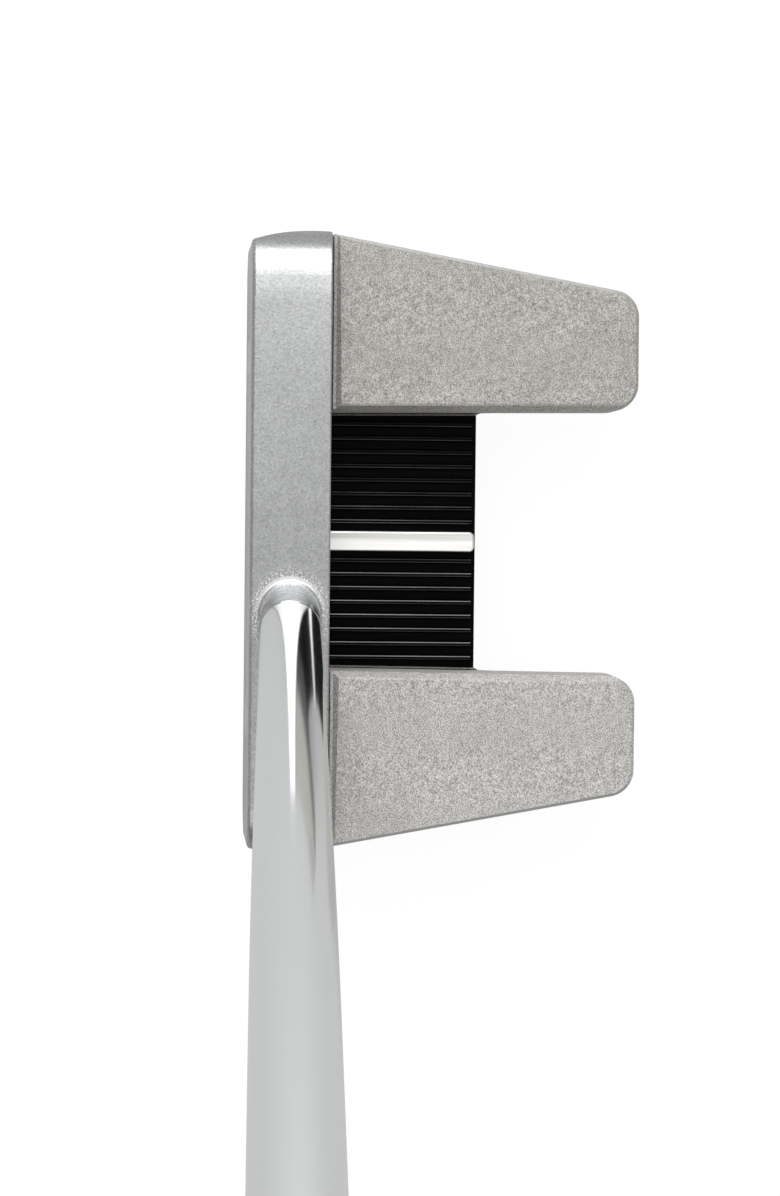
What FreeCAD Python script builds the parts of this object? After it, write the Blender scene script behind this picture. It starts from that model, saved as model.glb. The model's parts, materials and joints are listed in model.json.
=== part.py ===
import FreeCAD, Part
import math
import os

from FreeCAD import Vector

# Mallet putter, right-handed, all lengths in mm.
# Origin: where the shaft axis meets the flat of the sole. +X heel, -X toe, -Y face, +Y rear, +Z up.
# The wings, flange, insert and rail are symmetric about X = 0; the bar reaches a little further at the heel.
# The shaft leans towards +X at the lie angle and fits over a post that stands on the bar's boss.

# ---- head, overall ----
LIE_DEG = 68.0
LOFT_DEG = 2.0
TOE_REACH = 46.95
HEEL_REACH = 47.7
BAR_TOP_Z = 27.1
BAR_FRONT_Y = -6.1
BAR_REAR_Y = 5.9
END_ROLL_R = 7.9
ROLL_LEAD_R = 45.0
ROLL_LEAD_DEG = 4.5
SOLE_END_R = 11.5
TOE_BOW_FRONT = 2.2
HEEL_BOW_FRONT = 1.7
END_BOW_MIDDLE = 0.2
END_BOW_REAR = 0.35
END_BOW_MIDDLE_Y = 3.0
EDGE_R = 0.6
REAR_EDGE_R = 0.3
SOLE_EDGE = 1.9
BIG = 200.0
TOUCH = 0.01
SPARE = 1.0

# ---- shelf of the bar, under the front of wings and flange ----
SHELF_REAR_Y = 14.7
SHELF_TOP_Z = 3.2
SHELF_HALF = 43.0
SHELF_CORNER = 3.0

# ---- wings ----
WING_TOP_Z = 22.9
WING_TOP_DROP = 0.35
WING_UNDER_Z = 11.5
WING_REAR_Y = 52.3
WING_WALL_X = 19.6
WING_SPLAY_DEG = 0.6
WING_CHAMFER = (1.15, 1.1)
WING_EASING = (0.35, 0.13)
WING_OUTER_FRONT_X = 46.3
WING_OUTER_REAR_X = 37.65
WING_CORNER_R = 4.1
WING_EDGE = 0.45
GROOVE_WIDTH = 0.28
GROOVE_FLOOR_Z = 19.5
GROOVE_LIP = 0.45
GROOVE_LIP_Z = 22.2
FRONT_SLOPE_DEG = 40.0
SLOPE_START_Y = 16.3
SLOPE_END_Y = 31.0

# ---- centre flange, ribbed insert and sight rail ----
FLANGE_TOP_Z = 10.2
FLANGE_REAR_Y = 28.5
FLANGE_UNDER_Z = 5.8
FLARE_R = 0.75
TAPE_T = 0.2
TAPE_MARGIN = 0.8
INSERT_GAP = 0.15
INSERT_BASE_T = 1.4
INSERT_EDGE = 0.22
PLATE_GAP = 0.1
RIB_TOP_Z = 12.6
RIB_COUNT = 8
RIB_FIRST_X = 3.0
RIB_PITCH = 2.13
RIB_TOP_W = 0.52
RIB_FOOT_W = 1.0
RIB_BEVEL = (0.12, 0.07)
RIB_STOP = 0.6
RAIL_HALF = 1.55
RAIL_SINK = 0.5
RAIL_TOP_Z = 14.0
RAIL_END_GAP = 0.25
RAIL_EDGE = 0.35
RAIL_CORNER_R = 0.85
PIN_R = 0.8
PIN_Y = (10.0, 24.0)
PIN_DEPTH = 3.0

# ---- face insert ----
FACE_POCKET_T = 2.0
FACE_INSERT_T = 1.8
FACE_INSERT_HALF = 30.5
FACE_INSERT_DROP = (4.8, 20.6)
FACE_INSERT_CLEAR = 0.05
FACE_TAPE_MARGIN = 0.6
FACE_CORNER_R = 5.2
SCORE_COUNT = 9
SCORE_W = 0.5
SCORE_DEPTH = 0.3

# ---- screws and dowels from the sole ----
SCREW_R = 1.5
SCREW_HEAD_R = 2.8
SCREW_HEAD_H = 1.6
SCREW_SINK = 0.15
SCREW_LEN = 8.0
SCREW_Y = 10.4
SOCKET_R = 0.95
SOCKET_DEPTH = 1.1
THREAD_END_GAP = 0.8
WING_SCREW_X = (24.5, 33.0)
FLANGE_SCREW_X = 9.0
DOWEL_R = 1.25
DOWEL_LOW_Z = 0.6
DOWEL_LEN = 5.2
DOWEL_X = 28.75
HOLE_CLEAR = 0.02

# ---- boss, post and shaft, measured along the shaft axis from the origin ----
BOSS_ROOT_T = 24.0
BOSS_TOP_T = 34.75
BOSS_R = 4.66
BOSS_MOUTH_R = 4.62
BOSS_MOUTH_BEVEL = 0.12
BOSS_FILLET_R = 0.3
POST_TOP_T = 60.0
POST_R = 3.9
POST_BEVEL = 0.8
GLUE_TOP_T = 59.0
SHAFT_TOP_T = 860.0
SHAFT_WALL = 0.5
NECK = ((34.8, 4.52), (42.0, 4.57), (63.0, 4.8), (110.0, 5.28), (146.0, 5.46), (300.0, 5.6))
STEP_PITCH = 30.0
STEP_COUNT = 10
STEP_CONE = 3.0
STEP_LEAD = 0.01
BUTT_R = 7.35

# ---- grip ----
CLUB_LEN = 864.0
GRIP_LEN = 262.0
GRIP_TAPE_T = 0.2
GRIP_TAPE_START = 3.0
GRIP_TAPE_SHORT = 1.0
CAP_T = 4.0
CAP_SPIGOT = 6.0
CAP_SPIGOT_WALL = 1.2
VENT_R = 1.25
GRIP_POINTS = 48
# station as a fraction of the grip's length from its mouth, then front, side and back reach from the axis
GRIP_STATIONS = (
    (0.0, 8.6, 9.0, 9.0),
    (0.06, 8.9, 9.9, 9.6),
    (0.35, 9.6, 11.2, 11.0),
    (0.65, 10.2, 12.2, 12.6),
    (0.85, 10.6, 13.0, 16.0),
    (0.95, 10.8, 13.3, 17.4),
    (1.0, 10.6, 13.1, 16.8),
)
FRONT_FLATNESS = 4.5
BACK_ROUNDNESS = 2.1

LIE = math.radians(LIE_DEG)
LOFT = math.radians(LOFT_DEG)
SPLAY = math.radians(WING_SPLAY_DEG)
AXIS = Vector(math.cos(LIE), 0, math.sin(LIE))
UPPER = Vector(-math.sin(LIE), 0, math.cos(LIE))
SIDE = Vector(0, 1, 0)


# ---------------------------------------------------------------- small helpers
def prism(points, direction):
    """A closed polygon pushed along a direction."""
    loop = Part.makePolygon(points + [points[0]])
    return Part.Face(loop).extrude(direction)


def plan_prism(points, z0, z1):
    return prism([Vector(x, y, z0) for x, y in points], Vector(0, 0, z1 - z0))


def side_prism(points, x0, x1):
    """Points are (y, z); the prism runs along X."""
    return prism([Vector(x0, y, z) for y, z in points], Vector(x1 - x0, 0, 0))


def front_prism(points, y0, y1):
    """Points are (x, z); the prism runs along Y."""
    return prism([Vector(x, y0, z) for x, z in points], Vector(0, y1 - y0, 0))


def box(x0, x1, y0, y1, z0, z1):
    return Part.makeBox(x1 - x0, y1 - y0, z1 - z0, Vector(x0, y0, z0))


def mirrored(shape):
    """The same shape on the other side of the sight line."""
    return shape.mirror(Vector(0, 0, 0), Vector(1, 0, 0))


def on_axis(t, across=0.0, side=0.0):
    """A point t along the shaft, reached sideways towards the upper side and the rear."""
    return AXIS * t + UPPER * across + SIDE * side


def turned(profile):
    """A solid turned about the shaft axis from (t, radius) pairs; its seam is on the underside."""
    points = [on_axis(t, -r) for t, r in profile]
    loop = Part.makePolygon(points + [points[0]])
    return Part.Face(loop).revolve(Vector(0, 0, 0), AXIS, 360)


def chosen_edges(shape, wanted):
    """The edges whose middle passes the test."""
    return [edge for edge in shape.Edges if wanted(middle_of(edge), edge)]


def middle_of(edge):
    return edge.valueAt((edge.FirstParameter + edge.LastParameter) / 2)


def rounded_edges(shape, radius, wanted):
    return shape.makeFillet(radius, chosen_edges(shape, wanted))


def along(edge, direction):
    ends = edge.Vertexes
    if len(ends) < 2:
        return False
    run = ends[-1].Point - ends[0].Point
    if run.Length < TOUCH:
        return False
    return abs(run.normalize().dot(direction)) > 0.999


def save(name, shape):
    solids = shape.Solids
    kept = solids[0] if len(solids) == 1 else Part.makeCompound(solids)
    kept.exportStep("parts/" + name + ".step")


# ---------------------------------------------------------------- outlines of the head
def reach_for(sign):
    return HEEL_REACH if sign > 0 else TOE_REACH


def end_curves(sign):
    """One end of the head seen from the front: round at the sole, straight, then rolled into the top.

    The roll starts from the top with a short lead of large radius, so that the top runs off gently.
    """
    reach = reach_for(sign)
    lead = math.radians(ROLL_LEAD_DEG)
    lead_foot = BAR_TOP_Z - ROLL_LEAD_R * (1 - math.cos(lead))
    straight_top = lead_foot - END_ROLL_R * math.cos(lead)
    lead_start = END_ROLL_R * (1 - math.sin(lead)) + ROLL_LEAD_R * math.sin(lead)

    def at(inward, z):
        return Vector(sign * (reach - inward), 0, z)

    def on_roll(angle):
        """The point of the tight roll where the surface is tilted by an angle from level."""
        return at(END_ROLL_R * (1 - math.sin(angle)), straight_top + END_ROLL_R * math.cos(angle))

    def on_lead(angle):
        drop = ROLL_LEAD_R * (1 - math.cos(angle))
        return at(lead_start - ROLL_LEAD_R * math.sin(angle), BAR_TOP_Z - drop)

    corner = SOLE_END_R * (1 - math.sqrt(0.5))
    sole = at(SOLE_END_R, 0)
    low = at(0, SOLE_END_R)
    high = at(0, straight_top)
    curves = [
        Part.Arc(sole, at(corner, corner), low),
        Part.LineSegment(low, high),
        Part.Arc(high, on_roll((lead + math.pi / 2) / 2), on_roll(lead)),
        Part.Arc(on_roll(lead), on_lead(lead / 2), on_lead(0)),
    ]
    return curves, sole, on_lead(0)


def head_front_outline():
    """The head seen from the front, pushed through its whole depth."""
    heel, heel_sole, heel_top = end_curves(1)
    toe, toe_sole, toe_top = end_curves(-1)
    curves = heel + [Part.LineSegment(heel_top, toe_top)] + toe + [Part.LineSegment(toe_sole, heel_sole)]
    face = Part.Face(Part.Wire(Part.__sortEdges__([curve.toShape() for curve in curves])))
    face.translate(Vector(0, -BIG / 2, 0))
    return face.extrude(Vector(0, BIG, 0))


def bowed_end(sign):
    """The arc of one end of the bar seen from above, from its front corner to its rear corner."""
    reach = reach_for(sign)
    front_bow = HEEL_BOW_FRONT if sign > 0 else TOE_BOW_FRONT
    front = Vector(sign * (reach - front_bow), face_y(0), 0)
    middle = Vector(sign * (reach - END_BOW_MIDDLE), END_BOW_MIDDLE_Y, 0)
    rear = Vector(sign * (reach - END_BOW_REAR), BAR_REAR_Y, 0)
    return Part.Arc(front, middle, rear), front, rear


def head_plan_outline():
    """The bar seen from above, with its bowed toe and heel ends."""
    heel, heel_front, heel_rear = bowed_end(1)
    toe, toe_front, toe_rear = bowed_end(-1)
    sides = [Part.LineSegment(toe_front, heel_front), Part.LineSegment(heel_rear, toe_rear)]
    edges = [curve.toShape() for curve in [heel, toe] + sides]
    face = Part.Face(Part.Wire(Part.__sortEdges__(edges)))
    face.translate(Vector(0, 0, -SPARE))
    return face.extrude(Vector(0, 0, BIG))


def face_y(z):
    """Where the lofted striking face is at a height."""
    return BAR_FRONT_Y - (BAR_TOP_Z - z) * math.tan(LOFT)


def wall_x(y, inset):
    """The inner wall of the heel wing at a depth, less an inset; it splays a little towards the rear."""
    return WING_WALL_X - inset + (y - BAR_REAR_Y) * math.tan(SPLAY)


# ---------------------------------------------------------------- face bar with boss
def bar_body():
    section = [
        (face_y(BAR_TOP_Z), BAR_TOP_Z),
        (face_y(SOLE_EDGE), SOLE_EDGE),
        (face_y(0) + SOLE_EDGE, 0),
        (BAR_REAR_Y, 0),
        (BAR_REAR_Y, BAR_TOP_Z),
    ]
    body = side_prism(section, -BIG / 2, BIG / 2)
    body = body.common(head_front_outline()).common(head_plan_outline())
    body = rounded_edges(body, EDGE_R, on_front_rim)
    return rounded_edges(body, REAR_EDGE_R, on_rear_rim)


def on_front_rim(point, edge):
    return abs(point.y - face_y(point.z)) < TOUCH and point.z > SOLE_EDGE + TOUCH


def on_rear_rim(point, edge):
    return abs(point.y - BAR_REAR_Y) < TOUCH and point.z > SOLE_END_R


def shelf():
    """The ledge behind the bar that carries the wings and the flange."""
    plan = [
        (-SHELF_HALF, 0),
        (SHELF_HALF, 0),
        (SHELF_HALF, SHELF_REAR_Y - SHELF_CORNER),
        (SHELF_HALF - SHELF_CORNER, SHELF_REAR_Y),
        (-SHELF_HALF + SHELF_CORNER, SHELF_REAR_Y),
        (-SHELF_HALF, SHELF_REAR_Y - SHELF_CORNER),
    ]
    slab = plan_prism(plan, 0, SHELF_TOP_Z)
    return slab.common(head_front_outline())


def boss():
    """The short stub that stands out of the bar's top with the shaft's lean."""
    root_t = BAR_TOP_Z / math.sin(LIE) + BOSS_R / math.tan(LIE)
    return turned([
        (BOSS_ROOT_T, 0),
        (BOSS_ROOT_T, BOSS_R),
        (root_t + 2 * BOSS_FILLET_R, BOSS_R),
        (BOSS_TOP_T - BOSS_MOUTH_BEVEL, BOSS_MOUTH_R),
        (BOSS_TOP_T, BOSS_MOUTH_R - BOSS_MOUTH_BEVEL),
        (BOSS_TOP_T, 0),
    ])


def post():
    """The narrower post on the boss that goes up inside the shaft."""
    return turned([
        (BOSS_ROOT_T, 0),
        (BOSS_ROOT_T, POST_R),
        (POST_TOP_T - POST_BEVEL, POST_R),
        (POST_TOP_T, POST_R - POST_BEVEL),
        (POST_TOP_T, 0),
    ])


def is_boss_root(point, edge):
    on_top = abs(point.z - BAR_TOP_Z) < TOUCH
    return on_top and edge.Curve.TypeId == "Part::GeomEllipse"


def face_bar():
    shape = bar_body().fuse(boss()).removeSplitter()
    shape = rounded_edges(shape, BOSS_FILLET_R, is_boss_root)
    shape = shape.fuse(post()).fuse(shelf()).removeSplitter()
    shape = shape.cut(face_pad(-SPARE, FACE_POCKET_T, 0))
    for x, y in wing_screw_places() + flange_screw_places():
        shape = shape.cut(screw_clearance(x, y))
    for x, y in dowel_places():
        shape = shape.cut(dowel(x, y, HOLE_CLEAR))
    return shape


# ---------------------------------------------------------------- striking face
def lofted(shape):
    """Tilts a shape made behind the plane Y = BAR_FRONT_Y back to the loft."""
    shape.rotate(Vector(0, BAR_FRONT_Y, BAR_TOP_Z), Vector(1, 0, 0), -LOFT_DEG)
    return shape


def face_pad(depth0, depth1, shrink):
    """A rounded pad between two depths behind the striking face."""
    half = FACE_INSERT_HALF - shrink
    top = BAR_TOP_Z - FACE_INSERT_DROP[0] - shrink
    bottom = BAR_TOP_Z - FACE_INSERT_DROP[1] + shrink
    pad = box(-half, half, BAR_FRONT_Y + depth0, BAR_FRONT_Y + depth1, bottom, top)
    pad = rounded_edges(pad, FACE_CORNER_R - shrink, lambda m, e: along(e, SIDE))
    return lofted(pad)


def score_line(i):
    """One level score line, i from the sole up."""
    rise = FACE_INSERT_DROP[1] - FACE_INSERT_DROP[0]
    z = BAR_TOP_Z - FACE_INSERT_DROP[1] + rise * (i + 1) / (SCORE_COUNT + 1)
    half = FACE_INSERT_HALF - FACE_CORNER_R
    front = BAR_FRONT_Y - SPARE
    back = BAR_FRONT_Y + SCORE_DEPTH
    return lofted(box(-half, half, front, back, z - SCORE_W / 2, z + SCORE_W / 2))


def face_insert():
    """The striking plate with its score lines."""
    plate = face_pad(0, FACE_INSERT_T, FACE_INSERT_CLEAR)
    for i in range(SCORE_COUNT):
        plate = plate.cut(score_line(i))
    return plate


def face_insert_tape():
    return face_pad(FACE_INSERT_T, FACE_POCKET_T, FACE_TAPE_MARGIN)


# ---------------------------------------------------------------- wings
def under_profile(under_z, top_z, rear_y):
    """Side section of what stands on the shelf: flat, then sloping up to a raised underside."""
    slope = WING_UNDER_Z / (SLOPE_END_Y - SLOPE_START_Y)
    run_end = SLOPE_START_Y + under_z / slope
    return [
        (BAR_REAR_Y, SHELF_TOP_Z),
        (SHELF_REAR_Y, SHELF_TOP_Z),
        (SHELF_REAR_Y, 0),
        (SLOPE_START_Y, 0),
        (run_end, under_z),
        (rear_y, under_z),
        (rear_y, top_z),
        (BAR_REAR_Y, top_z),
    ]


def heel_wing():
    plan = [
        (wall_x(BAR_REAR_Y, 0), BAR_REAR_Y),
        (WING_OUTER_FRONT_X, BAR_REAR_Y),
        (WING_OUTER_REAR_X, WING_REAR_Y),
        (wall_x(WING_REAR_Y, 0), WING_REAR_Y),
    ]
    body = plan_prism(plan, 0, WING_TOP_Z)
    near_rear = lambda m, e: along(e, Vector(0, 0, 1)) and m.y > WING_REAR_Y - SPARE
    body = rounded_edges(body, WING_CORNER_R, near_rear).cut(wing_top_slope())
    body = body.makeChamfer(WING_EDGE, chosen_edges(body, on_wing_rim))
    side = side_prism(under_profile(WING_UNDER_Z, WING_TOP_Z, BIG), -BIG / 2, BIG / 2)
    body = body.common(side).common(head_front_outline())
    body = body.cut(wing_inner_chamfer()).cut(wing_groove()).cut(shelf())
    for x, y in wing_screw_places():
        body = body.cut(threaded_hole(x, y))
    for x, y in dowel_places():
        body = body.cut(dowel(x, y, HOLE_CLEAR))
    return body


def on_wing_rim(point, edge):
    """The outer and rear edges of the top, not the inner and front ones."""
    level = not along(edge, Vector(0, 0, 1))
    near_top = point.z > WING_TOP_Z - WING_TOP_DROP - TOUCH
    outer = point.x > wall_x(point.y, 0) + TOUCH
    behind = point.y > BAR_REAR_Y + TOUCH
    return level and near_top and outer and behind


def wing_top_slope():
    """What is planed off so that the wing's top falls slightly towards its outer edge."""
    inner = WING_WALL_X + WING_CHAMFER[0]
    outer = WING_OUTER_FRONT_X
    low = WING_TOP_Z - WING_TOP_DROP
    return front_prism([(inner, WING_TOP_Z), (outer, low), (outer, BIG), (inner, BIG)], 0, BIG)


def splayed(shape):
    """Turns a shape made along Y to run along the heel wing's inner wall."""
    shape.rotate(Vector(WING_WALL_X, BAR_REAR_Y, 0), Vector(0, 0, 1), -WING_SPLAY_DEG)
    return shape


def wing_inner_chamfer():
    """The broad chamfer along the edge that faces the sight line, eased where it meets the top."""
    wide, deep = WING_CHAMFER
    ease_wide, ease_deep = WING_EASING
    return splayed(front_prism([
        (WING_WALL_X - wide, WING_TOP_Z - deep),
        (WING_WALL_X, WING_TOP_Z - deep),
        (WING_WALL_X + wide - ease_wide, WING_TOP_Z - ease_deep),
        (WING_WALL_X + wide, WING_TOP_Z),
        (WING_WALL_X + wide + ease_wide, WING_TOP_Z + ease_deep),
        (WING_WALL_X - wide, WING_TOP_Z + ease_deep),
    ], -BIG / 2, BIG))


def wing_groove():
    """The slot against the bar, a thin lip, then a sloping front edge."""
    slot_y = BAR_REAR_Y + GROOVE_WIDTH
    lip_y = slot_y + GROOVE_LIP
    run = 2 * (WING_TOP_Z - GROOVE_LIP_Z)
    above = GROOVE_LIP_Z + run * math.tan(math.radians(FRONT_SLOPE_DEG))
    return side_prism([
        (0, GROOVE_FLOOR_Z),
        (slot_y, GROOVE_FLOOR_Z),
        (slot_y, GROOVE_LIP_Z),
        (lip_y, GROOVE_LIP_Z),
        (lip_y + run, above),
        (0, above),
    ], -BIG / 2, BIG / 2)


# ---------------------------------------------------------------- flange, insert, rail
def between_walls(inset, rear_y):
    """Plan outline of what lies between the wings, with splayed sides."""
    front = wall_x(BAR_REAR_Y, inset)
    rear = wall_x(rear_y, inset)
    return [(-front, BAR_REAR_Y), (front, BAR_REAR_Y), (rear, rear_y), (-rear, rear_y)]


def centre_flange():
    """The block between the wings; its rear corners flare out against them."""
    profile = under_profile(FLANGE_UNDER_Z, FLANGE_TOP_Z, FLANGE_REAR_Y)
    body = side_prism(profile, -BIG / 2, BIG / 2)
    body = body.common(plan_prism(between_walls(0, FLANGE_REAR_Y), 0, BIG))
    body = body.fuse(flare()).fuse(mirrored(flare())).removeSplitter().cut(shelf())
    for x, y in flange_screw_places():
        body = body.cut(threaded_hole(x, y))
    return pinned(body)


def flare():
    """A small hollow-sided corner piece between the flange's rear face and the heel wing."""
    wall = wall_x(FLANGE_REAR_Y, 0)
    square = [
        (wall - FLARE_R, FLANGE_REAR_Y - TOUCH),
        (wall, FLANGE_REAR_Y - TOUCH),
        (wall_x(FLANGE_REAR_Y + FLARE_R, 0), FLANGE_REAR_Y + FLARE_R),
        (wall - FLARE_R, FLANGE_REAR_Y + FLARE_R),
    ]
    height = FLANGE_TOP_Z - FLANGE_UNDER_Z
    foot = Vector(wall - FLARE_R, FLANGE_REAR_Y + FLARE_R, FLANGE_UNDER_Z)
    corner = plan_prism(square, FLANGE_UNDER_Z, FLANGE_TOP_Z)
    return corner.cut(Part.makeCylinder(FLARE_R, height, foot))


def pinned(shape):
    for y in PIN_Y:
        shape = shape.cut(rail_pin(y, HOLE_CLEAR))
    return shape


def rib(x):
    """A straight rib with sloping sides and bevelled top edges, ending just short of the plate's rear."""
    foot = FLANGE_TOP_Z + TAPE_T + INSERT_BASE_T
    bevel_wide, bevel_deep = RIB_BEVEL
    half = RIB_TOP_W / 2
    section = [
        (x - RIB_FOOT_W / 2, foot),
        (x + RIB_FOOT_W / 2, foot),
        (x + half, RIB_TOP_Z - bevel_deep),
        (x + half - bevel_wide, RIB_TOP_Z),
        (x - half + bevel_wide, RIB_TOP_Z),
        (x - half, RIB_TOP_Z - bevel_deep),
    ]
    return front_prism(section, BAR_REAR_Y + PLATE_GAP, FLANGE_REAR_Y - RIB_STOP)


def rib_insert():
    """A plate with ribs from front to rear, chamfered edges and a slot for the rail."""
    z0 = FLANGE_TOP_Z + TAPE_T
    foot = z0 + INSERT_BASE_T
    plate = plan_prism(between_walls(INSERT_GAP, FLANGE_REAR_Y), z0, foot)
    plate = plate.cut(box(-BIG, BIG, 0, BAR_REAR_Y + PLATE_GAP, 0, BIG))
    top_rim = lambda m, e: m.z > foot - TOUCH and m.y > BAR_REAR_Y + 2 * PLATE_GAP
    plate = plate.makeChamfer(INSERT_EDGE, chosen_edges(plate, top_rim))
    for i in range(RIB_COUNT):
        x = RIB_FIRST_X + i * RIB_PITCH
        plate = plate.fuse(rib(x)).fuse(rib(-x))
    plate = plate.removeSplitter()
    slot = box(-RAIL_HALF, RAIL_HALF, 0, FLANGE_REAR_Y - RAIL_END_GAP, foot - RAIL_SINK, BIG)
    return pinned(plate.cut(slot))


def rib_insert_tape():
    plan = between_walls(INSERT_GAP + TAPE_MARGIN, FLANGE_REAR_Y - TAPE_MARGIN)
    return pinned(plan_prism(plan, FLANGE_TOP_Z, FLANGE_TOP_Z + TAPE_T))


def sight_rail():
    """The bright bar on the sight line: softened top edges and a rounded rear end."""
    z0 = FLANGE_TOP_Z + TAPE_T + INSERT_BASE_T - RAIL_SINK
    front = BAR_REAR_Y + PLATE_GAP
    rear = FLANGE_REAR_Y - RAIL_END_GAP
    rail = box(-RAIL_HALF, RAIL_HALF, front, rear, z0, RAIL_TOP_Z)
    corner = lambda m, e: along(e, Vector(0, 0, 1)) and m.y > rear - TOUCH
    rail = rounded_edges(rail, RAIL_CORNER_R, corner)
    top = lambda m, e: m.z > RAIL_TOP_Z - TOUCH and m.y > front + TOUCH
    return rounded_edges(rail, RAIL_EDGE, top)


def rail_pin(y, extra):
    """A pin from the rail's underside down into the flange."""
    top = FLANGE_TOP_Z + TAPE_T + INSERT_BASE_T - RAIL_SINK
    low = FLANGE_TOP_Z - PIN_DEPTH
    return Part.makeCylinder(PIN_R + extra, top - low, Vector(0, y, low))


def rail_pins():
    return Part.makeCompound([rail_pin(y, 0) for y in PIN_Y])


# ---------------------------------------------------------------- screws and dowels
def wing_screw_places():
    return [(sign * x, SCREW_Y) for x in WING_SCREW_X for sign in (-1, 1)]


def flange_screw_places():
    return [(sign * FLANGE_SCREW_X, SCREW_Y) for sign in (-1, 1)]


def dowel_places():
    return [(sign * DOWEL_X, SCREW_Y) for sign in (-1, 1)]


def screw(x, y):
    """A countersunk screw with a hexagonal socket, driven up from the sole."""
    foot = Vector(x, y, SCREW_SINK)
    shank = Part.makeCylinder(SCREW_R, SCREW_LEN, foot)
    head = Part.makeCone(SCREW_HEAD_R, SCREW_R, SCREW_HEAD_H, foot)
    corners = [math.radians(60 * k) for k in range(6)]
    hexagon = [(x + SOCKET_R * math.cos(a), y + SOCKET_R * math.sin(a)) for a in corners]
    return head.fuse(shank).removeSplitter().cut(plan_prism(hexagon, 0, SCREW_SINK + SOCKET_DEPTH))


def screw_clearance(x, y):
    """The countersunk hole for one screw through the shelf."""
    foot = Vector(x, y, SCREW_SINK)
    mouth_r = SCREW_HEAD_R + HOLE_CLEAR
    hole_r = SCREW_R + HOLE_CLEAR
    mouth = Part.makeCylinder(mouth_r, SCREW_SINK, Vector(x, y, 0))
    cone = Part.makeCone(mouth_r, hole_r, SCREW_HEAD_H, foot)
    return mouth.fuse(cone).fuse(Part.makeCylinder(hole_r, SHELF_TOP_Z, foot))


def threaded_hole(x, y):
    return Part.makeCylinder(SCREW_R + HOLE_CLEAR, SCREW_LEN + THREAD_END_GAP, Vector(x, y, 0))


def dowel(x, y, extra):
    """A locating dowel between shelf and wing."""
    return Part.makeCylinder(DOWEL_R + extra, DOWEL_LEN + extra, Vector(x, y, DOWEL_LOW_Z))


def screws(places):
    return Part.makeCompound([screw(x, y) for x, y in places])


def locating_dowels():
    return Part.makeCompound([dowel(x, y, 0) for x, y in dowel_places()])


# ---------------------------------------------------------------- shaft
def shaft_steps():
    """(t, radius) pairs above the neck, from the first step to the butt."""
    first_t, start = NECK[-1]
    gain = (BUTT_R - start) / STEP_COUNT
    points = []
    for i in range(STEP_COUNT):
        t = first_t + i * STEP_PITCH
        points += [(t + STEP_LEAD, start + i * gain), (t + STEP_CONE, start + (i + 1) * gain)]
    return points + [(SHAFT_TOP_T, BUTT_R)]


def shaft_skin(inset):
    """The solid inside the shaft's surface, or inside a surface that far below it."""
    flare = Part.BSplineCurve()
    flare.interpolate([on_axis(t, inset - r) for t, r in NECK])
    tip_t, tip_r = NECK[0]
    corners = [on_axis(t, inset - r) for t, r in [NECK[-1]] + shaft_steps()]
    corners += [on_axis(SHAFT_TOP_T), on_axis(tip_t), on_axis(tip_t, inset - tip_r)]
    edges = [flare.toShape()] + [Part.makeLine(p, q) for p, q in zip(corners, corners[1:])]
    return Part.Face(Part.Wire(edges)).revolve(Vector(0, 0, 0), AXIS, 360)


def shaft():
    """The stepped tube. Its tip stands on the boss, round the post."""
    return shaft_skin(0).cut(shaft_skin(SHAFT_WALL))


def shaft_glue():
    """The glue between post and shaft."""
    ring = turned([(NECK[0][0], POST_R), (NECK[0][0], BIG), (GLUE_TOP_T, BIG), (GLUE_TOP_T, POST_R)])
    return ring.common(shaft_skin(SHAFT_WALL))


# ---------------------------------------------------------------- grip
def grip_ring(t, front, side, back):
    """One cross-section: flat where the thumbs lie, round at the back."""
    points = []
    for k in range(GRIP_POINTS):
        a = 2 * math.pi * k / GRIP_POINTS
        c, s = math.cos(a), math.sin(a)
        reach, power = (front, FRONT_FLATNESS) if c > 0 else (back, BACK_ROUNDNESS)
        scale = (abs(c) ** power + abs(s) ** power) ** (-1 / power)
        blend = (abs(c) ** BACK_ROUNDNESS + abs(s) ** BACK_ROUNDNESS) ** (-1 / BACK_ROUNDNESS)
        widen = scale if c <= 0 else (scale + blend) / 2
        points.append(on_axis(t, reach * c * scale, side * s * widen))
    curve = Part.BSplineCurve()
    curve.interpolate(points, PeriodicFlag=True)
    return Part.Wire([curve.toShape()])


def grip_envelope():
    mouth = CLUB_LEN - GRIP_LEN
    rings = [grip_ring(mouth + f * GRIP_LEN, a, b, c) for f, a, b, c in GRIP_STATIONS]
    return Part.makeLoft(rings, True, False)


def grip_bore_radius():
    return BUTT_R + GRIP_TAPE_T


def slab_between(t0, t1):
    return turned([(t0, 0), (t0, BIG), (t1, BIG), (t1, 0)])


def grip():
    body = grip_envelope().common(slab_between(0, CLUB_LEN - CAP_T))
    r = grip_bore_radius()
    return body.cut(turned([(0, 0), (0, r), (CLUB_LEN, r), (CLUB_LEN, 0)]))


def grip_cap():
    """The butt cap: a lid as wide as the grip, a spigot in the shaft, a vent hole."""
    lid = grip_envelope().common(slab_between(CLUB_LEN - CAP_T, CLUB_LEN + SPARE))
    r = BUTT_R - SHAFT_WALL
    t0 = SHAFT_TOP_T - CAP_SPIGOT
    t1 = SHAFT_TOP_T + SPARE
    bore = r - CAP_SPIGOT_WALL
    spigot = turned([(t0, bore), (t0, r), (t1, r), (t1, bore)])
    top = CLUB_LEN + SPARE
    vent = turned([(0, 0), (0, VENT_R), (top, VENT_R), (top, 0)])
    return lid.fuse(spigot).removeSplitter().cut(vent)


def grip_tape():
    r0 = BUTT_R
    r1 = grip_bore_radius()
    t0 = CLUB_LEN - GRIP_LEN + GRIP_TAPE_START
    t1 = SHAFT_TOP_T - GRIP_TAPE_SHORT
    return turned([(t0, r0), (t0, r1), (t1, r1), (t1, r0)])


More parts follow.
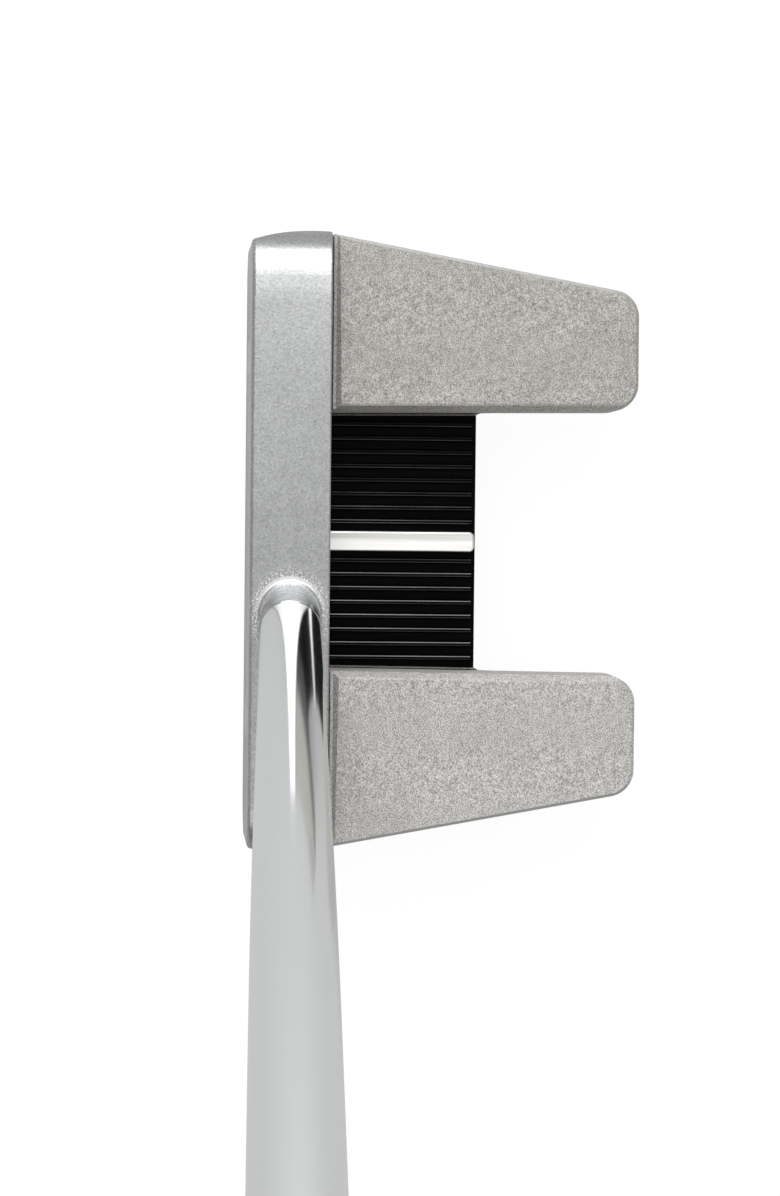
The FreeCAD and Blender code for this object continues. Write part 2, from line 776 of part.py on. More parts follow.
# ---------------------------------------------------------------- write every piece
def main():
    os.makedirs("parts", exist_ok=True)
    wing = heel_wing()
    save("face_bar", face_bar())
    save("face_insert", face_insert())
    save("face_insert_tape", face_insert_tape())
    save("heel_wing", wing)
    save("toe_wing", mirrored(wing))
    save("centre_flange", centre_flange())
    save("rib_insert", rib_insert())
    save("rib_insert_tape", rib_insert_tape())
    save("sight_rail", sight_rail())
    save("rail_pins", rail_pins())
    save("wing_screws", screws(wing_screw_places()))
    save("flange_screws", screws(flange_screw_places()))
    save("locating_dowels", locating_dowels())
    save("shaft", shaft())
    save("shaft_glue", shaft_glue())
    save("grip_tape", grip_tape())
    save("grip", grip())
    save("grip_cap", grip_cap())


main()
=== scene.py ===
"""A two-winged mallet putter standing on its sole, seen from half a metre above its head.

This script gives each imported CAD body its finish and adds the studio: a white floor, soft boxes and the
camera. The shaft alone is replaced, by a finer mesh that follows it within 0.03 mm. Lengths are in metres,
in the CAD's own frame, apart from the shaft's own values, which are in millimetres.
"""

import json
import math

import bpy
from mathutils import Matrix, Vector

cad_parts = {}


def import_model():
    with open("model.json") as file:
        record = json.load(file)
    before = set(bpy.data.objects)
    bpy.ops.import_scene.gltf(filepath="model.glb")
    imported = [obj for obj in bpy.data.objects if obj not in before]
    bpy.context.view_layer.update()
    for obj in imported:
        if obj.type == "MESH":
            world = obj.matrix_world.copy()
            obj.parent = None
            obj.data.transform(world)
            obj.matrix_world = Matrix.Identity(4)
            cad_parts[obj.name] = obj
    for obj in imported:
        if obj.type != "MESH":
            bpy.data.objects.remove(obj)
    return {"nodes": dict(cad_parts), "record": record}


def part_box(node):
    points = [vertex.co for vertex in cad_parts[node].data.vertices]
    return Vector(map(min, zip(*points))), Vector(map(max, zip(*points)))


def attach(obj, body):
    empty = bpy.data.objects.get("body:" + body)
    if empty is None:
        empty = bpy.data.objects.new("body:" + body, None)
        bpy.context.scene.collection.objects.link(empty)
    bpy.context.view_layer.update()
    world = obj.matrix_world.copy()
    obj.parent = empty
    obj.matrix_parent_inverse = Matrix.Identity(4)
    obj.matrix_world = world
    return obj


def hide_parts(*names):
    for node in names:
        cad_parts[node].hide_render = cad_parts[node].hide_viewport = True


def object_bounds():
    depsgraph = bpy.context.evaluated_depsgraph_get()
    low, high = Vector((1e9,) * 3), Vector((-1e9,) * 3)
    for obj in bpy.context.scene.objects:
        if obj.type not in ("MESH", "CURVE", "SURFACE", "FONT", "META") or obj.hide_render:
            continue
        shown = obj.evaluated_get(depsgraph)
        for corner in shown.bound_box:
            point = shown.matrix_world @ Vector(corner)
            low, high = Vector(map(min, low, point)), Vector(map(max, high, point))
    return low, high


MM = 0.001

# ---- what the materials need to know of the part's shape ----
LIE_DEG = 68.0
SPLAY_DEG = 0.6
INSERT_EDGE = 0.23 * MM
BOSS_FOOT_Z = 27.3 * MM
BOSS_R = 5.1 * MM
# round the boss's foot: the painted highlight ring's radii, the painted glints' radii, and the X over which
# the ring's highlight fades out
RIM_R = (BOSS_R + 0.1 * MM, BOSS_R + 0.35 * MM)
GLINT_BAND_R = (BOSS_R + 0.4 * MM, BOSS_R + 1.9 * MM)
RIM_FADE_X = (6 * MM, 12 * MM)
WING_EDGE_X = 25 * MM
# where the rail's painted shade on its toe side gives way to its own bright colour
RAIL_SHADE_X = (-0.6 * MM, 0.1 * MM)
EDGE_SOFTNESS = 0.3 * MM

# ---- the sloping faces that are told apart by the X part of their normals: from, to ----
CHAMFER_NORMAL = (0.45, 0.85)
RIB_NORMAL = (0.3, 0.7)

# ---- shaft: (distance along its axis, radius) at its tip, then where its steps are ----
NECK = ((34.8, 4.52), (42.0, 4.57), (63.0, 4.8), (110.0, 5.28), (146.0, 5.46), (300.0, 5.6))
STEP_PITCH = 30.0
STEP_COUNT = 10
STEP_CONE = 3.0
STEP_EASE = 0.3
BUTT_R = 7.35
SHAFT_TOP_T = 860.0
SHAFT_WALL = 0.5
SHAFT_SIDES = 192
RING_PITCH = 2.5
SHARP_DEG = 40.0

# ---- camera: where it stands, and which way its picture's right and up sides point ----
CAMERA_AT = Vector((-5.28, -4.50, 515.15)) * MM
CAMERA_RIGHT = Vector((-0.0103, 0.9992, 0.0394))
CAMERA_UP = Vector((-0.9996, -0.0092, -0.0283))
CAMERA_LENS_MM = 98.39
SENSOR_MM = 36.0
CLIP_NEAR, CLIP_FAR = 0.01, 50.0

# ---- soft boxes: name, upper and lower edge as (x, z), length across Y, radiance ----
SOFT_BOXES = (
    ("key", (-0.36, 0.3785), (-0.65, 0.19), 0.4, 3.5),
    ("key_edge", (-0.25, 0.45), (-0.36, 0.3785), 0.4, 2.5),
    ("key_fade", (-0.08, 0.50), (-0.25, 0.45), 0.4, 1.4),
    ("heel_fill", (0.31, 1.10), (0.99, 0.77), 1.8, 0.8),
)

# ---- room: grey level at each upward slope; then the X it fades between, and by how much there ----
ROOM_BY_HEIGHT = ((0.0, 0.68), (0.3, 0.6), (0.75, 0.72), (1.0, 0.88))
ROOM_TOE_TO_HEEL = (-0.9, 0.9, 1.25, 0.5)

# ---- floor: its size, the size of its cloudiness, and how strongly it glows ----
FLOOR_SIZE = 12.0
FLOOR_CLOUD = 0.3
FLOOR_GLOW_REFLECTED, FLOOR_GLOW_SEEN = 0.24, 0.92

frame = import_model()
CAD_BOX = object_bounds()


# ---------------------------------------------------------------- node trees
class Finish:
    """One material: a Principled shader with procedural detail in the part's own coordinates."""

    def __init__(self, name, colour, metallic, roughness):
        self.material = bpy.data.materials.new(name)
        self.material.use_nodes = True
        self.tree = self.material.node_tree
        self.shader = self.tree.nodes["Principled BSDF"]
        self.place = self.tree.nodes.new("ShaderNodeTexCoord").outputs["Object"]
        self.set("Base Color", (*colour, 1.0))
        self.set("Metallic", metallic)
        self.set("Roughness", roughness)

    def set(self, socket, value):
        self.shader.inputs[socket].default_value = value

    def link(self, output, socket):
        self.tree.links.new(output, socket)

    def feed(self, socket, output):
        self.link(output, self.shader.inputs[socket])

    def turned(self, degrees_about_y, stretch=(1, 1, 1)):
        """Coordinates turned about Y and only then stretched, each axis by its own factor."""
        mapping = self.tree.nodes.new("ShaderNodeMapping")
        mapping.vector_type = "TEXTURE"
        mapping.inputs["Rotation"].default_value[1] = -math.radians(degrees_about_y)
        mapping.inputs["Scale"].default_value = [1.0 / factor for factor in stretch]
        self.link(self.place, mapping.inputs["Vector"])
        return mapping.outputs["Vector"]

    def noise(self, grain, detail=2.0, rough=0.5, distortion=0.0, at=None):
        """A noise field whose blobs are about `grain` metres across."""
        node = self.tree.nodes.new("ShaderNodeTexNoise")
        node.inputs["Scale"].default_value = 1.0 / grain
        node.inputs["Detail"].default_value = detail
        node.inputs["Roughness"].default_value = rough
        node.inputs["Distortion"].default_value = distortion
        self.link(at or self.place, node.inputs["Vector"])
        return node.outputs["Fac"]

    def cells(self, pitch, at=None):
        """The distance from the nearest of scattered points that lie about `pitch` metres apart."""
        node = self.tree.nodes.new("ShaderNodeTexVoronoi")
        node.inputs["Scale"].default_value = 1.0 / pitch
        self.link(at or self.place, node.inputs["Vector"])
        return node.outputs["Distance"]

    def between(self, value, low, high, start=0.3, end=0.7):
        """Maps the middle of a field onto low..high."""
        node = self.tree.nodes.new("ShaderNodeMapRange")
        node.inputs["From Min"].default_value = start
        node.inputs["From Max"].default_value = end
        node.inputs["To Min"].default_value = low
        node.inputs["To Max"].default_value = high
        self.link(value, node.inputs["Value"])
        return node.outputs["Result"]

    def shades(self, value, dark, light, start=0.3, end=0.7):
        """A colour that goes from dark to light with the field."""
        node = self.tree.nodes.new("ShaderNodeValToRGB")
        first, last = node.color_ramp.elements
        first.position = start
        first.color = (*dark, 1.0)
        last.position = end
        last.color = (*light, 1.0)
        self.link(value, node.inputs["Fac"])
        return node.outputs["Color"]

    def maths(self, operation, first, second):
        """A sum or comparison of two inputs, each a number or a field."""
        node = self.tree.nodes.new("ShaderNodeMath")
        node.operation = operation
        for socket, value in zip(node.inputs, (first, second)):
            if isinstance(value, (int, float)):
                socket.default_value = value
            else:
                self.link(value, socket)
        return node.outputs["Value"]

    def part(self, axis, of=None):
        """One coordinate, "X", "Y" or "Z", of a point in the part or of another vector."""
        axes = self.tree.nodes.new("ShaderNodeSeparateXYZ")
        self.link(of or self.place, axes.inputs["Vector"])
        return axes.outputs[axis]

    def beyond_wall_line(self, width):
        """1 within `width` of the insert's two splayed side edges, 0 elsewhere."""
        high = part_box("rib_insert")[1]
        from_centre = self.maths("ABSOLUTE", self.part("X"), 0.0)
        to_rear = self.maths("SUBTRACT", high.y, self.part("Y"))
        straight = self.maths("MULTIPLY_ADD", to_rear, math.tan(math.radians(SPLAY_DEG)))
        self.link(from_centre, straight.node.inputs[2])
        return self.maths("GREATER_THAN", straight, high.x - width)

    def from_shaft_axis(self):
        """Distance from the line the shaft stands on."""
        level = self.tree.nodes.new("ShaderNodeVectorMath")
        level.operation = "MULTIPLY"
        level.inputs[1].default_value = (1.0, 1.0, 0.0)
        self.link(self.turned(LIE_DEG - 90), level.inputs[0])
        length = self.tree.nodes.new("ShaderNodeVectorMath")
        length.operation = "LENGTH"
        self.link(level.outputs["Vector"], length.inputs[0])
        return length.outputs["Value"]

    def above(self, height):
        """0 below a height in the part, 1 just above it."""
        return self.between(self.part("Z"), 0.0, 1.0, height, height + EDGE_SOFTNESS)

    def along_x(self, start, end):
        """0 on the toe side of `start`, 1 on the heel side of `end`."""
        return self.between(self.part("X"), 0.0, 1.0, start, end)

    def far_from_centre(self, distance):
        """1 further than a distance from the sight line, either way."""
        return self.maths("GREATER_THAN", self.maths("ABSOLUTE", self.part("X"), 0.0), distance)

    def facing_sideways(self, least, most):
        """1 on flat faces whose normal's X part is between two values, either way round."""
        geometry = self.tree.nodes.new("ShaderNodeNewGeometry")
        size = self.maths("ABSOLUTE", self.part("X", of=geometry.outputs["True Normal"]), 0.0)
        enough = self.maths("GREATER_THAN", size, least)
        return self.maths("MULTIPLY", enough, self.maths("LESS_THAN", size, most))

    def blend(self, factor, first, second, mode="MIX"):
        """One colour field over another."""
        node = self.tree.nodes.new("ShaderNodeMix")
        node.data_type = "RGBA"
        node.blend_type = mode
        inputs = {socket.identifier: socket for socket in node.inputs}
        if isinstance(factor, float):
            inputs["Factor_Float"].default_value = factor
        else:
            self.link(factor, inputs["Factor_Float"])
        self.link(first, inputs["A_Color"])
        self.link(second, inputs["B_Color"])
        return next(out for out in node.outputs if out.identifier == "Result_Color")

    def tinted(self, first, second):
        """One colour field multiplied by another."""
        return self.blend(1.0, first, second, "MULTIPLY")

    def blend_values(self, factor, first, level):
        """A number field that goes over to a constant where the factor is 1."""
        node = self.tree.nodes.new("ShaderNodeMix")
        inputs = {socket.identifier: socket for socket in node.inputs}
        inputs["B_Float"].default_value = level
        self.link(factor, inputs["Factor_Float"])
        self.link(first, inputs["A_Float"])
        return next(out for out in node.outputs if out.identifier == "Result_Float")

    def mix(self, factor, first, second):
        """The first colour where the factor is 0 and the second, a constant, where it is 1."""
        node = self.tree.nodes.new("ShaderNodeMix")
        node.data_type = "RGBA"
        inputs = {socket.identifier: socket for socket in node.inputs}
        inputs["B_Color"].default_value = (*second, 1.0)
        self.link(factor, inputs["Factor_Float"])
        self.link(first, inputs["A_Color"])
        return next(out for out in node.outputs if out.identifier == "Result_Color")

    def bump(self, height, depth, strength=1.0, under=None):
        """Raises the surface by up to `depth` metres where the field is 1."""
        node = self.tree.nodes.new("ShaderNodeBump")
        node.inputs["Distance"].default_value = depth
        node.inputs["Strength"].default_value = strength
        self.link(height, node.inputs["Height"])
        if under:
            self.link(under, node.inputs["Normal"])
        return node.outputs["Normal"]


# ---------------------------------------------------------------- finishes
def bar_satin():
    """Fine bead-blasted satin with faint cloudiness. The boss is polished; round its foot a pale ring and
    pale specks are painted on, a painted highlight and painted glints, and the ring fades out on the boss's
    heel side.
    """
    f = Finish("bar_satin", (0.42, 0.425, 0.425), 1.0, 0.3)
    grain = f.noise(0.32 * MM, 2, 0.6)
    cloud = f.shades(f.noise(9 * MM, 3), (0.92, 0.92, 0.92), (1.0, 1.0, 1.0))
    satin = f.tinted(f.shades(grain, (0.33, 0.335, 0.335), (0.50, 0.505, 0.505)), cloud)
    around = f.turned(LIE_DEG - 90, (0.2, 0.2, 1))
    brushed = f.noise(0.5 * MM, 3, 0.6, at=around)
    polished = f.above(BOSS_FOOT_Z)
    bright = f.shades(brushed, (0.25, 0.255, 0.26), (0.50, 0.51, 0.52))
    from_axis = f.from_shaft_axis()
    ring = f.between(from_axis, 0.7, 0.0, *RIM_R)
    # painted highlight: a pale ring at the boss's foot, on its toe side only
    rim_highlight = f.maths("MULTIPLY", ring, f.maths("SUBTRACT", 1.0, f.along_x(*RIM_FADE_X)))
    # painted glints: pale specks scattered just outside that ring
    glint_band = f.between(from_axis, 1.0, 0.0, *GLINT_BAND_R)
    glints = f.maths("MULTIPLY", glint_band, f.between(f.noise(0.22 * MM, 1), 0.0, 1.0, 0.56, 0.63))
    painted_highlights = f.maths("MAXIMUM", rim_highlight, glints)
    f.feed("Base Color", f.blend(polished, f.mix(painted_highlights, satin, (0.95, 0.95, 0.95)), bright))
    f.feed("Roughness", f.blend_values(polished, f.between(f.noise(1.5 * MM, 2), 0.26, 0.33), 0.16))
    fine = f.bump(grain, 0.02 * MM)
    f.feed("Normal", f.bump(f.noise(0.8 * MM, 2), 0.006 * MM, under=fine))
    return f.material


def wing_blast():
    """Coarse blasted metal: short crumpled ridges, with smoother edges; its colour is darker in the
    crumple's hollows, as painted shade.

    Its colour is painted a little lighter from the toe wing to the heel wing, as painted light.
    """
    f = Finish("wing_blast", (0.52, 0.512, 0.494), 1.0, 0.8)
    crumple = f.noise(0.2 * MM, 1, 0.4, 0.4)
    # painted shade: the colour follows the crumple and is darker in its hollows
    shaded_hollows = f.shades(crumple, (0.37, 0.363, 0.347), (0.73, 0.721, 0.702), 0.32, 0.66)
    cloud = f.shades(f.noise(11 * MM, 3, 0.6), (0.93, 0.925, 0.915), (1.0, 1.0, 1.0))
    # painted light: the colour rises from the toe wing's outer end to the heel wing's outer end
    painted_heel_light = f.shades(f.along_x(-WING_EDGE_X, WING_EDGE_X), (0.9, 0.9, 0.89), (1.08, 1.08, 1.09), 0.0, 1.0)
    coarse = f.tinted(f.tinted(shaded_hollows, cloud), painted_heel_light)
    edges = f.facing_sideways(*CHAMFER_NORMAL)
    outer = f.maths("MULTIPLY", edges, f.far_from_centre(WING_EDGE_X))
    f.feed("Base Color", f.mix(outer, coarse, (0.5, 0.5, 0.49)))
    f.feed("Roughness", f.blend_values(edges, f.between(f.noise(0.8 * MM, 2), 0.7, 0.9), 0.42))
    ridges = f.bump(crumple, 0.1 * MM)
    f.feed("Normal", f.bump(f.noise(1.1 * MM, 2), 0.018 * MM, under=ridges))
    return f.material


def flange_black():
    """Black satin coat with faint orange peel."""
    f = Finish("flange_black", (0.016, 0.016, 0.017), 0.0, 0.35)
    f.feed("Base Color", f.shades(f.noise(3 * MM, 3), (0.012, 0.012, 0.013), (0.022, 0.022, 0.022)))
    f.feed("Roughness", f.between(f.noise(1.2 * MM), 0.3, 0.42))
    f.feed("Normal", f.bump(f.noise(0.5 * MM), 0.006 * MM))
    return f.material


def insert_black():
    """Black anodised aluminium, milled along the ribs; bare metal shows on its cut edges. The ribs' sloping
    bevels get a dim metallic colour, a painted highlight that draws the rib lines.
    """
    f = Finish("insert_black", (0.002, 0.002, 0.002), 0.0, 0.25)
    along = f.turned(0, (1, 0.04, 1))
    black = f.shades(f.noise(0.6 * MM, 3, at=along), (0.0003, 0.0003, 0.0004), (0.0016, 0.0017, 0.0018))
    bare = f.beyond_wall_line(INSERT_EDGE)
    # painted highlight: the sloping bevels of the ribs get a dim metallic colour so that they read as bright
    # lines
    highlit_bevels = f.facing_sideways(*RIB_NORMAL)
    painted_rib_highlight = f.shades(f.noise(0.8 * MM, 3, at=along), (0.04, 0.042, 0.043), (0.085, 0.088, 0.089))
    f.feed("Base Color", f.mix(bare, f.blend(highlit_bevels, black, painted_rib_highlight), (0.6, 0.59, 0.57)))
    f.feed("Metallic", f.maths("MAXIMUM", bare, highlit_bevels))
    f.feed("Roughness", f.between(f.noise(0.3 * MM, 2, at=along), 0.2, 0.34))
    f.feed("Normal", f.bump(f.noise(0.12 * MM, 2, at=along), 0.003 * MM))
    f.set("Specular IOR Level", 0.03)
    return f.material


def rail_bright():
    """Bright milled aluminium with fine lines from front to rear; its colour is painted darker along its toe
    side, as painted shade.
    """
    f = Finish("rail_bright", (0.95, 0.94, 0.92), 1.0, 0.2)
    along = f.turned(0, (1, 0.02, 1))
    lines = f.noise(0.5 * MM, 3, at=along)
    # painted shade: a darker copy of the rail's colour for its toe side
    shaded_toe_side = f.shades(lines, (0.58, 0.57, 0.54), (0.78, 0.77, 0.74))
    bright = f.shades(lines, (0.90, 0.89, 0.86), (0.98, 0.975, 0.96))
    f.feed("Base Color", f.blend(f.along_x(*RAIL_SHADE_X), shaded_toe_side, bright))
    f.feed("Roughness", f.between(f.noise(0.25 * MM, 2, at=along), 0.3, 0.42))
    f.feed("Normal", f.bump(f.noise(0.2 * MM, 2, at=along), 0.002 * MM))
    return f.material


def ground_steel(name, colour, low, high):
    """Small steel hardware with a fine turned grain."""
    f = Finish(name, colour, 1.0, (low + high) / 2)
    around = f.turned(0, (1, 1, 0.15))
    dark = tuple(c * 0.88 for c in colour)
    f.feed("Base Color", f.shades(f.noise(0.8 * MM, 3), dark, colour))
    f.feed("Roughness", f.between(f.noise(0.2 * MM, 2, at=around), low, high))
    f.feed("Normal", f.bump(f.noise(0.1 * MM, 2, at=around), 0.002 * MM))
    return f.material


def face_plate():
    """The striking plate: milled in fine level passes."""
    f = Finish("face_plate", (0.58, 0.59, 0.60), 1.0, 0.32)
    along = f.turned(0, (0.03, 1, 1))
    f.feed("Base Color", f.shades(f.noise(1.5 * MM, 3, at=along), (0.52, 0.53, 0.54), (0.62, 0.63, 0.64)))
    f.feed("Roughness", f.between(f.noise(0.4 * MM, 2, at=along), 0.26, 0.4))
    f.feed("Normal", f.bump(f.noise(0.18 * MM, 2, at=along), 0.006 * MM))
    return f.material


def film(name, dark, light):
    """Adhesive film or cured glue, slightly uneven."""
    f = Finish(name, light, 0.0, 0.5)
    f.feed("Base Color", f.shades(f.noise(1.5 * MM, 3), dark, light))
    f.feed("Roughness", f.between(f.noise(0.6 * MM), 0.4, 0.6))
    f.feed("Normal", f.bump(f.noise(0.3 * MM), 0.006 * MM))
    return f.material


def shaft_chrome():
    """Bright plated chrome: nearly a mirror, with hairline polishing marks around the tube."""
    f = Finish("shaft_chrome", (0.70, 0.705, 0.705), 1.0, 0.03)
    around = f.turned(LIE_DEG - 90, (0.15, 0.15, 1))
    f.feed("Base Color", f.shades(f.noise(14 * MM, 3), (0.69, 0.695, 0.695), (0.71, 0.715, 0.715)))
    f.feed("Roughness", f.between(f.noise(1.5 * MM, 3, at=around), 0.02, 0.055))
    f.feed("Normal", f.bump(f.noise(0.5 * MM, 2, at=around), 0.0003 * MM))
    return f.material


def grip_rubber():
    """Matt moulded rubber covered in fine pips, with a few scuffs."""
    f = Finish("grip_rubber", (0.028, 0.028, 0.030), 0.0, 0.7)
    f.feed("Base Color", f.shades(f.noise(20 * MM, 4, 0.6), (0.020, 0.020, 0.022), (0.040, 0.040, 0.042)))
    f.feed("Roughness", f.between(f.noise(5 * MM, 3), 0.6, 0.82))
    pips = f.between(f.cells(1.5 * MM, at=f.turned(LIE_DEG - 90)), 1.0, 0.0, 0.1, 0.6)
    fine = f.bump(f.noise(0.3 * MM, 3), 0.02 * MM)
    f.feed("Normal", f.bump(pips, 0.16 * MM, under=fine))
    return f.material


def cap_rubber():
    """Smooth moulded rubber."""
    f = Finish("cap_rubber", (0.03, 0.03, 0.03), 0.0, 0.55)
    f.feed("Base Color", f.shades(f.noise(4 * MM, 3), (0.022, 0.022, 0.023), (0.038, 0.038, 0.038)))
    f.feed("Roughness", f.between(f.noise(1.5 * MM), 0.45, 0.65))
    f.feed("Normal", f.bump(f.noise(0.4 * MM), 0.015 * MM))
    return f.material


def finish_parts():
    """Gives every CAD node the material of its slot in the record."""
    finishes = {
        "bar_satin": bar_satin(),
        "wing_blast": wing_blast(),
        "flange_black": flange_black(),
        "insert_black": insert_black(),
        "rail_bright": rail_bright(),
        "pin_steel": ground_steel("pin_steel", (0.62, 0.62, 0.62), 0.2, 0.34),
        "screw_steel": ground_steel("screw_steel", (0.58, 0.58, 0.59), 0.24, 0.4),
        "face_plate": face_plate(),
        "bond_tape": film("bond_tape", (0.72, 0.70, 0.62), (0.85, 0.83, 0.76)),
        "glue": film("glue", (0.42, 0.38, 0.28), (0.55, 0.50, 0.40)),
        "shaft_chrome": shaft_chrome(),
        "grip_tape": film("grip_tape", (0.70, 0.68, 0.60), (0.80, 0.78, 0.70)),
        "grip_rubber": grip_rubber(),
        "cap_rubber": cap_rubber(),
    }
    slots = {part["node"]: part["material_slot"] for part in frame["record"]["subparts"]}
    for name, node in frame["nodes"].items():
        node.data.materials.clear()
        node.data.materials.append(finishes[slots[name]])


# ---------------------------------------------------------------- shaft with a smooth mirror surface
def slope_at(points, i):
    """The slope of the curve through the points at one of them."""
    before, after = points[max(i - 1, 0)], points[min(i + 1, len(points) - 1)]
    return (after[1] - before[1]) / (after[0] - before[0])


def neck_rings():
    """(t, radius) pairs every few millimetres on a smooth curve through the neck's stations."""
    rings = []
    for i, ((t0, r0), (t1, r1)) in enumerate(zip(NECK, NECK[1:])):
        span = t1 - t0
        m0, m1 = slope_at(NECK, i) * span, slope_at(NECK, i + 1) * span
        count = math.ceil(span / RING_PITCH)
        for k in range(count):
            u = k / count
            stations = (2 * u ** 3 - 3 * u ** 2 + 1) * r0 + (3 * u ** 2 - 2 * u ** 3) * r1
            slopes = (u ** 3 - 2 * u ** 2 + u) * m0 + (u ** 3 - u ** 2) * m1
            rings.append((t0 + u * span, stations + slopes))
    return rings


def step_rings():
    """The short cones above the neck, each held crisp by a ring just before and just after it."""
    start, radius = NECK[-1]
    gain = (BUTT_R - radius) / STEP_COUNT
    rings = []
    for i in range(STEP_COUNT):
        foot = start + i * STEP_PITCH
        low, high = radius + i * gain, radius + (i + 1) * gain
        head = foot + STEP_CONE
        rings += [(foot - STEP_EASE, low), (foot, low), (head, high), (head + STEP_EASE, high)]
    return rings + [(SHAFT_TOP_T, BUTT_R)]


def lathe(name, rings, sides):
    """A closed tube turned about the shaft's axis from (t, radius) pairs in millimetres that form a loop."""
    lean = math.radians(LIE_DEG)
    axis = Vector((math.cos(lean), 0, math.sin(lean)))
    upper = Vector((-math.sin(lean), 0, math.cos(lean)))
    side = Vector((0, 1, 0))
    turns = [2 * math.pi * k / sides for k in range(sides)]
    outward = [upper * math.cos(a) + side * math.sin(a) for a in turns]
    vertices = [(axis * t + out * r) * MM for t, r in rings for out in outward]
    faces = []
    for i in range(len(rings)):
        here, there = i * sides, (i + 1) % len(rings) * sides
        for k in range(sides):
            after = (k + 1) % sides
            faces.append((here + after, here + k, there + k, there + after))
    mesh = bpy.data.meshes.new(name)
    mesh.from_pydata(vertices, [], faces)
    mesh.polygons.foreach_set("use_smooth", [True] * len(faces))
    mesh.set_sharp_from_angle(angle=math.radians(SHARP_DEG))
    tube = bpy.data.objects.new(name, mesh)
    bpy.context.scene.collection.objects.link(tube)
    return tube


def mirror_shaft():
    """The CAD shaft's shape, within 0.03 mm, turned finely enough to carry clean reflections."""
    outer = neck_rings() + step_rings()
    inner = [(t, r - SHAFT_WALL) for t, r in reversed(outer)]
    tube = lathe("chrome_shaft", outer + inner, SHAFT_SIDES)
    tube.data.materials.append(bpy.data.materials["shaft_chrome"])
    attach(tube, "root")
    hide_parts("shaft")


# ---------------------------------------------------------------- studio
def floor():
    """A floor at the sole: nearly white to the camera, and a grey studio floor in reflections."""
    bpy.ops.mesh.primitive_plane_add(size=FLOOR_SIZE, location=(0, 0, CAD_BOX[0][2]))
    plane = bpy.context.object
    plane.name = "floor"
    f = Finish("floor_white", (0.1, 0.1, 0.1), 0.0, 0.8)
    seen = f.tree.nodes.new("ShaderNodeLightPath").outputs["Is Camera Ray"]
    cloud = f.noise(FLOOR_CLOUD, 3)
    dark = f.shades(cloud, (0.1, 0.1, 0.1), (0.12, 0.12, 0.12))
    grey = f.shades(cloud, (0.34, 0.34, 0.34), (0.36, 0.36, 0.36))
    f.feed("Base Color", f.blend(seen, grey, dark))
    f.set("Emission Color", (1.0, 1.0, 1.0, 1.0))
    f.feed("Emission Strength", f.between(seen, FLOOR_GLOW_REFLECTED, FLOOR_GLOW_SEEN, 0.0, 1.0))
    f.set("Specular IOR Level", 0.0)
    plane.data.materials.append(f.material)


def soft_box(name, centre, normal, size, radiance):
    """A rectangular light, `size` being its length across Y and then its other length.

    Its radiance is what a mirror would show of it.
    """
    data = bpy.data.lights.new(name, "AREA")
    data.shape = "RECTANGLE"
    data.size, data.size_y = size
    data.energy = radiance * math.pi * size[0] * size[1]
    light = bpy.data.objects.new(name, data)
    back = -Vector(normal).normalized()
    across = Vector((0, 1, 0))
    rise = back.cross(across).normalized()
    light.matrix_world = Matrix.Translation(centre) @ Matrix((across, rise, back)).transposed().to_4x4()
    light.visible_camera = False
    bpy.context.scene.collection.objects.link(light)


def between_edges(name, upper, lower, length, radiance):
    """A soft box stretched between two edges given as (x, z), facing the head."""
    top = Vector((upper[0], 0, upper[1]))
    foot = Vector((lower[0], 0, lower[1]))
    run = foot - top
    normal = Vector((run.z, 0, -run.x))
    centre = (top + foot) / 2
    if normal.dot(-centre) < 0:
        normal = -normal
    soft_box(name, centre, normal, (length, run.length), radiance)


def lights():
    for box in SOFT_BOXES:
        between_edges(*box)


def grey_ramp(tree, value, stops):
    """A grey level that goes through (position, level) stops as the value rises."""
    ramp = tree.nodes.new("ShaderNodeValToRGB")
    while len(ramp.color_ramp.elements) < len(stops):
        ramp.color_ramp.elements.new(0.5)
    for element, (position, level) in zip(ramp.color_ramp.elements, stops):
        element.position = position
        element.color = (level, level, level, 1.0)
    tree.links.new(value, ramp.inputs["Fac"])
    return ramp.outputs["Color"]


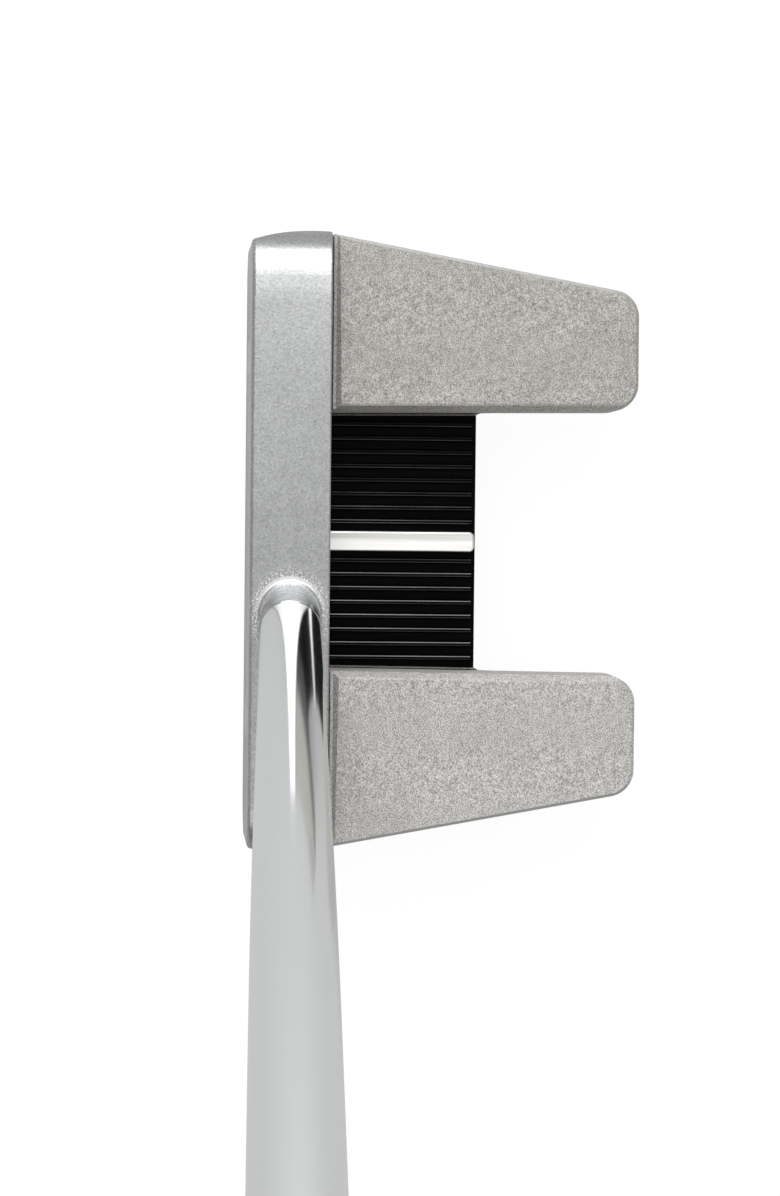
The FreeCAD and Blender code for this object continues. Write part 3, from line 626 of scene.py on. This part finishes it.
def world():
    """A pale room, brightest overhead and dimmest on the golfer's side; the camera itself sees white."""
    room = bpy.data.worlds.new("room")
    bpy.context.scene.world = room
    room.use_nodes = True
    tree = room.node_tree
    background = tree.nodes["Background"]
    path = tree.nodes.new("ShaderNodeLightPath")
    coords = tree.nodes.new("ShaderNodeTexCoord")
    split = tree.nodes.new("ShaderNodeSeparateXYZ")
    tree.links.new(coords.outputs["Generated"], split.inputs["Vector"])
    height = grey_ramp(tree, split.outputs["Z"], ROOM_BY_HEIGHT)
    sideways = tree.nodes.new("ShaderNodeMapRange")
    for socket, value in zip(("From Min", "From Max", "To Min", "To Max"), ROOM_TOE_TO_HEEL):
        sideways.inputs[socket].default_value = value
    tree.links.new(split.outputs["X"], sideways.inputs["Value"])
    scaled = tree.nodes.new("ShaderNodeVectorMath")
    scaled.operation = "SCALE"
    tree.links.new(height, scaled.inputs[0])
    tree.links.new(sideways.outputs["Result"], scaled.inputs["Scale"])
    mix = tree.nodes.new("ShaderNodeMix")
    mix.data_type = "RGBA"
    sockets = {s.identifier: s for s in mix.inputs}
    tree.links.new(path.outputs["Is Camera Ray"], sockets["Factor_Float"])
    tree.links.new(scaled.outputs["Vector"], sockets["A_Color"])
    sockets["B_Color"].default_value = (1.0, 1.0, 1.0, 1.0)
    result = next(s for s in mix.outputs if s.identifier == "Result_Color")
    tree.links.new(result, background.inputs["Color"])


def camera():
    """Above the head, looking nearly straight down at it, with the toe end at the top."""
    data = bpy.data.cameras.new("eye")
    data.sensor_width = SENSOR_MM
    data.lens = CAMERA_LENS_MM
    data.clip_start = CLIP_NEAR
    data.clip_end = CLIP_FAR
    eye = bpy.data.objects.new("eye", data)
    right = CAMERA_RIGHT.normalized()
    back = right.cross(CAMERA_UP).normalized()
    up = back.cross(right)
    turn = Matrix((right, up, back)).transposed().to_4x4()
    eye.matrix_world = Matrix.Translation(CAMERA_AT) @ turn
    bpy.context.scene.collection.objects.link(eye)
    bpy.context.scene.camera = eye


def colour_handling():
    """Plain display colours, so that white stays white."""
    view = bpy.context.scene.view_settings
    view.view_transform = "Standard"
    view.look = "None"


camera()
finish_parts()
mirror_shaft()
floor()
world()
lights()
colour_handling()
